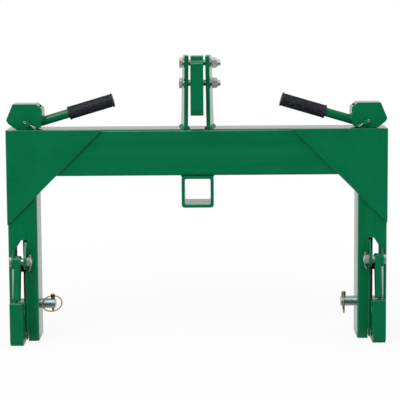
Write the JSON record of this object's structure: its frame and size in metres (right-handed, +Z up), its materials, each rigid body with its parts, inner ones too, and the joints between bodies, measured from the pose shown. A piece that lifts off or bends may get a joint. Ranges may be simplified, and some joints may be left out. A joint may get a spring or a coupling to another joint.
{
  "type": "three point quick hitch",
  "caption": "Tractor quick hitch: a welded arch with an upward top hook, two lower hooks with latches, lift levers on the beam, a receiver tube and lower link pins.",
  "frame": {"origin": "middle of the hitch's footprint on the ground, level with the legs' feet", "axes": "+X along the beam, to the right as the implement side is seen; +Y from the implement towards the tractor; +Z up"},
  "size_m": [0.75, 0.122, 0.5665],
  "materials": {
    "green_paint": "gloss powder coat",
    "zinc_hardware": "clear zinc plate",
    "yellow_zinc": "yellow zinc plate on steel",
    "dark_steel": "black oxide",
    "grip_rubber": "ribbed and matt"
  },
  "bodies": {
    "frame": {"cross_beam": "green_paint", "receiver_tube": "green_paint", "top_hook": "green_paint", "mast_bolt_lower": "zinc_hardware", "mast_bolt_upper": "zinc_hardware", "mast_nut_lower": "zinc_hardware", "mast_nut_upper": "zinc_hardware", "leg_left": "green_paint", "corner_plate_left": "green_paint", "mast_plate_left": "green_paint", "lower_hook_left": "green_paint", "latch_ear_inner_left": "green_paint", "latch_ear_outer_left": "green_paint", "latch_bolt_left": "zinc_hardware", "latch_nut_left": "zinc_hardware", "latch_sleeve_left": "zinc_hardware", "latch_cotter_left": "zinc_hardware", "return_spring_left": "zinc_hardware", "link_pin_left": "zinc_hardware", "linch_pin_left": "yellow_zinc", "leg_right": "green_paint", "corner_plate_right": "green_paint", "mast_plate_right": "green_paint", "lower_hook_right": "green_paint", "latch_ear_inner_right": "green_paint", "latch_ear_outer_right": "green_paint", "latch_bolt_right": "zinc_hardware", "latch_nut_right": "zinc_hardware", "latch_sleeve_right": "zinc_hardware", "latch_cotter_right": "zinc_hardware", "return_spring_right": "zinc_hardware", "link_pin_right": "zinc_hardware", "linch_pin_right": "yellow_zinc"},
    "rod_left": {"lift_rod_left": "dark_steel", "latch_link_pin_left": "zinc_hardware", "spring_collar_left": "zinc_hardware", "lever_pin_left": "zinc_hardware", "lever_cotter_left": "zinc_hardware"},
    "lever_left": {"lever_cam_left": "green_paint", "lever_tube_left": "green_paint", "lever_grip_left": "grip_rubber"},
    "latch_left": {"latch_left": "green_paint"},
    "ring_left": {"linch_ring_left": "yellow_zinc"},
    "rod_right": {"lift_rod_right": "dark_steel", "latch_link_pin_right": "zinc_hardware", "spring_collar_right": "zinc_hardware", "lever_pin_right": "zinc_hardware", "lever_cotter_right": "zinc_hardware"},
    "lever_right": {"lever_cam_right": "green_paint", "lever_tube_right": "green_paint", "lever_grip_right": "grip_rubber"},
    "latch_right": {"latch_right": "green_paint"},
    "ring_right": {"linch_ring_right": "yellow_zinc"}
  },
  "joints": [
    {"name": "rod_lift_left", "type": "slide", "parent": "frame", "child": "rod_left", "axis": [0, 0, 1], "range_m": [0, 0.0358], "stiffness_N_per_m": 600, "springref_m": -0.02, "deforming": ["return_spring_left"]},
    {"name": "lever_swing_left", "type": "hinge", "parent": "rod_left", "child": "lever_left", "pos_m": [-0.332, 0.018, 0.4327], "axis": [0, -1, 0], "range_deg": [0, 90]},
    {"name": "latch_swing_left", "type": "hinge", "parent": "frame", "child": "latch_left", "pos_m": [-0.355, -0.021, 0.162], "axis": [1, 0, 0], "range_deg": [0, 49.2]},
    {"name": "rod_lift_right", "type": "slide", "parent": "frame", "child": "rod_right", "axis": [0, 0, 1], "range_m": [0, 0.0358], "stiffness_N_per_m": 600, "springref_m": -0.02, "deforming": ["return_spring_right"]},
    {"name": "lever_swing_right", "type": "hinge", "parent": "rod_right", "child": "lever_right", "pos_m": [0.332, 0.018, 0.4327], "axis": [0, 1, 0], "range_deg": [0, 90]},
    {"name": "latch_swing_right", "type": "hinge", "parent": "frame", "child": "latch_right", "pos_m": [0.355, -0.021, 0.162], "axis": [1, 0, 0], "range_deg": [0, 49.2]},
    {"name": "ring_swing_left", "type": "hinge", "parent": "frame", "child": "ring_left", "pos_m": [-0.2925, 0.025, 0.0828], "axis": [-1, 0, 0], "range_deg": [0, 250]},
    {"name": "ring_swing_right", "type": "hinge", "parent": "frame", "child": "ring_right", "pos_m": [0.2925, 0.025, 0.0828], "axis": [0, 1, 0], "range_deg": [-33, 213]}
  ],
  "couplings": [
    {"joint": "rod_lift_left", "follows": "lever_swing_left", "m_per_rad": 0.0227},
    {"joint": "latch_swing_left", "follows": "lever_swing_left", "ratio": 0.546},
    {"joint": "rod_lift_right", "follows": "lever_swing_right", "m_per_rad": 0.0227},
    {"joint": "latch_swing_right", "follows": "lever_swing_right", "ratio": 0.546}
  ]
}
